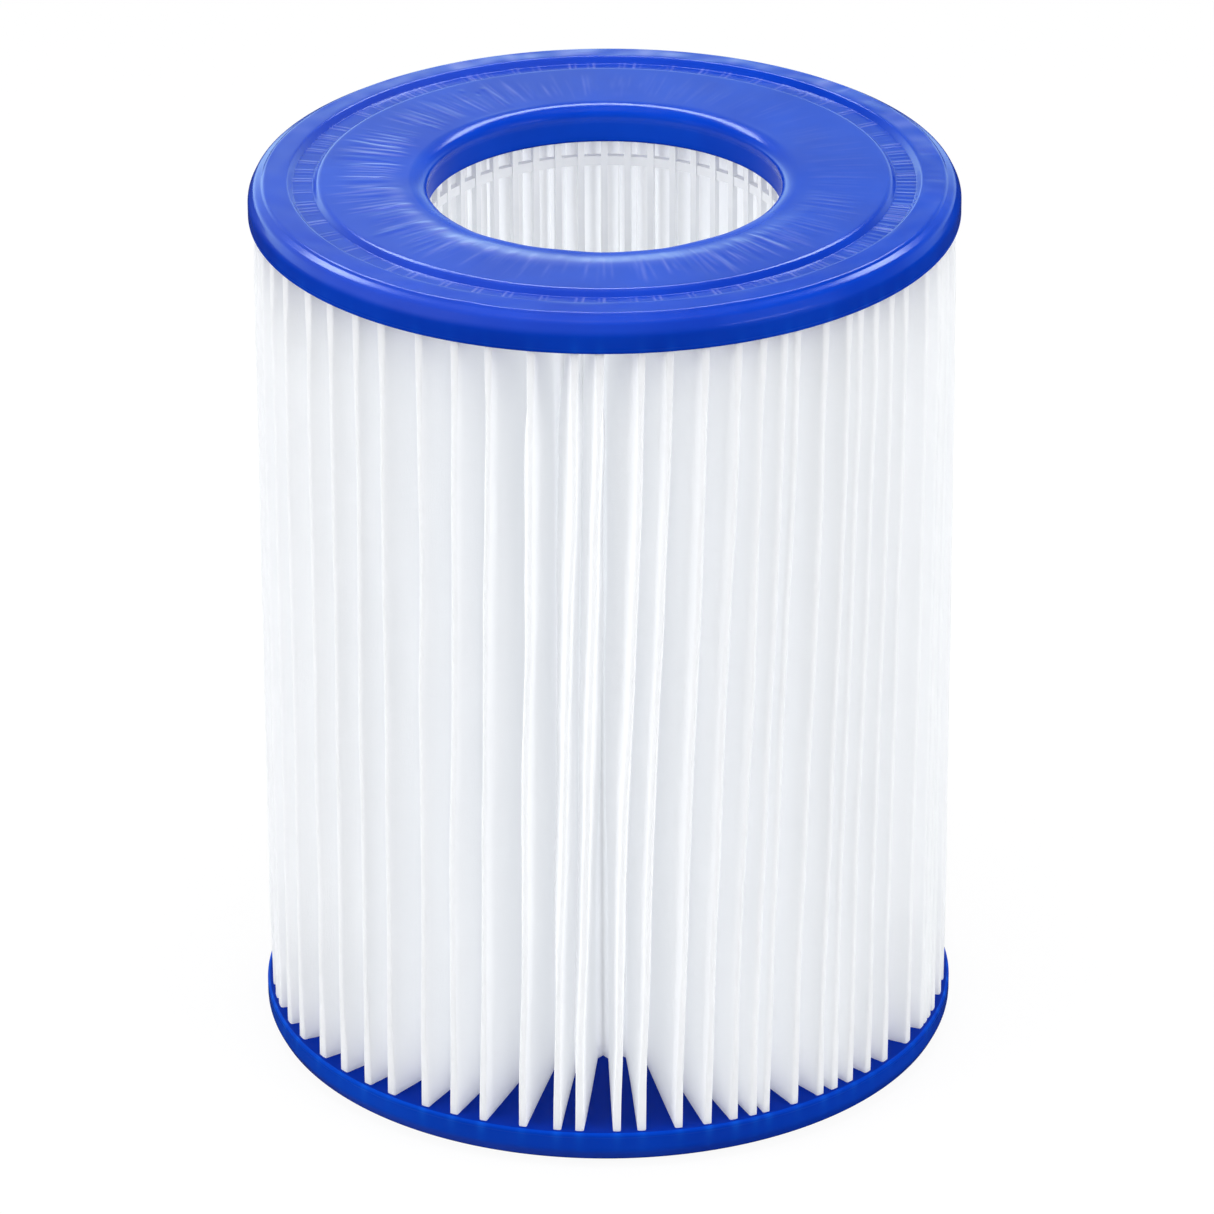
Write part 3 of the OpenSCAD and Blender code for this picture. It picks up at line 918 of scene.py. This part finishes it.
WL(high, mul.inputs[1])
side = wt.nodes.new("ShaderNodeMapRange")
side.inputs["From Min"].default_value = -0.5
side.inputs["From Max"].default_value = 0.5
side.inputs["To Min"].default_value = 1.30
side.inputs["To Max"].default_value = 0.65
WL(sep.outputs["X"], side.inputs["Value"])
mul2 = wt.nodes.new("ShaderNodeMath")
mul2.operation = "MULTIPLY"
WL(mul.outputs[0], mul2.inputs[0])
mul3 = wt.nodes.new("ShaderNodeMath")
mul3.operation = "MULTIPLY"
WL(side.outputs[0], mul3.inputs[0])
mul3.inputs[1].default_value = W_GLOSS
WL(mul3.outputs[0], mul2.inputs[1])
WL(mul2.outputs[0], bg_gl.inputs["Strength"])
mix_g = wt.nodes.new("ShaderNodeMixShader")
WL(w_lp.outputs["Is Glossy Ray"], mix_g.inputs[0])
WL(bg_dif.outputs[0], mix_g.inputs[1])
WL(bg_gl.outputs[0], mix_g.inputs[2])
mix_c = wt.nodes.new("ShaderNodeMixShader")
WL(w_lp.outputs["Is Camera Ray"], mix_c.inputs[0])
WL(mix_g.outputs[0], mix_c.inputs[1])
WL(bg_cam.outputs[0], mix_c.inputs[2])
WL(mix_c.outputs[0], w_out.inputs["Surface"])


def area(name, loc, aim, size, power, diffuse=True, glossy=True, color=(1, 1, 1)):
    ld = bpy.data.lights.new(name, "AREA")
    ld.shape = "RECTANGLE"
    ld.size, ld.size_y = size
    ld.energy = power
    ld.color = color
    o = bpy.data.objects.new(name, ld)
    bpy.context.scene.collection.objects.link(o)
    o.location = loc
    v = Vector(aim) - Vector(loc)
    o.rotation_euler = v.to_track_quat("-Z", "Y").to_euler()
    o.visible_camera = False
    o.visible_diffuse = diffuse
    o.visible_transmission = diffuse
    o.visible_glossy = glossy
    return o


# light that shapes the fleece
area("fill_left", (-1.0, -0.45, 0.50), (0, 0, 0.07), (0.8, 0.9), K_LEFT, glossy=False)
area("fill_right", (0.95, -0.50, 0.45), (0, 0, 0.07), (0.8, 0.9), K_RIGHT, glossy=False)
area("fill_top", (0.0, -0.05, 1.20), (0, 0, 0.1), (0.7, 0.6), K_TOP, glossy=False)
# light that the vinyl mirrors
area("glint_back", (-0.02, 0.75, 1.02), (0, 0, 0.12), (1.35, 0.25), G_TOP, diffuse=False, color=(0.80, 0.93, 1.0))
area("glint_left", (-1.08, -0.19, 0.43), (0, 0, 0.13), (0.90, 0.08), G_LEFT, diffuse=False, color=(0.85, 0.95, 1.0))
area("glint_right", (0.867, -0.677, 0.39), (0, 0, 0.13), (0.55, 0.07), G_RIGHT, diffuse=False, color=(0.85, 0.95, 1.0))

cyc = bpy.context.scene.cycles
cyc.max_bounces = 12
cyc.diffuse_bounces = 10
cyc.glossy_bounces = 3
cyc.transmission_bounces = 10

# ---------------------------------------------------------------- camera
D, EL = 1.195, math.radians(25.84)
cam_data = bpy.data.cameras.new("camera")
cam_data.sensor_fit = "HORIZONTAL"
cam_data.sensor_width = 36.0
cam_data.lens = 7849.0 / 1214.0 * 36.0
cam_data.clip_start, cam_data.clip_end = 0.1, 50.0
cam = bpy.data.objects.new("camera", cam_data)
bpy.context.scene.collection.objects.link(cam)
cam.location = (0.0, -D * math.cos(EL), 0.069 + D * math.sin(EL))
down = EL + math.atan(7.65 / 7849.0)
cam.rotation_euler = (math.pi / 2 - down, 0.0, -math.atan(0.5 / 7849.0))
cam.rotation_mode = "QUATERNION"
look = cam.rotation_euler.to_quaternion()
cam.rotation_quaternion = look @ Quaternion((0, 0, 1), math.radians(-0.28))
bpy.context.scene.camera = cam

vs = bpy.context.scene.view_settings
vs.view_transform = "Standard"
vs.look = "None"
vs.exposure = 0.0
vs.gamma = 1.0

bpy.context.view_layer.update()
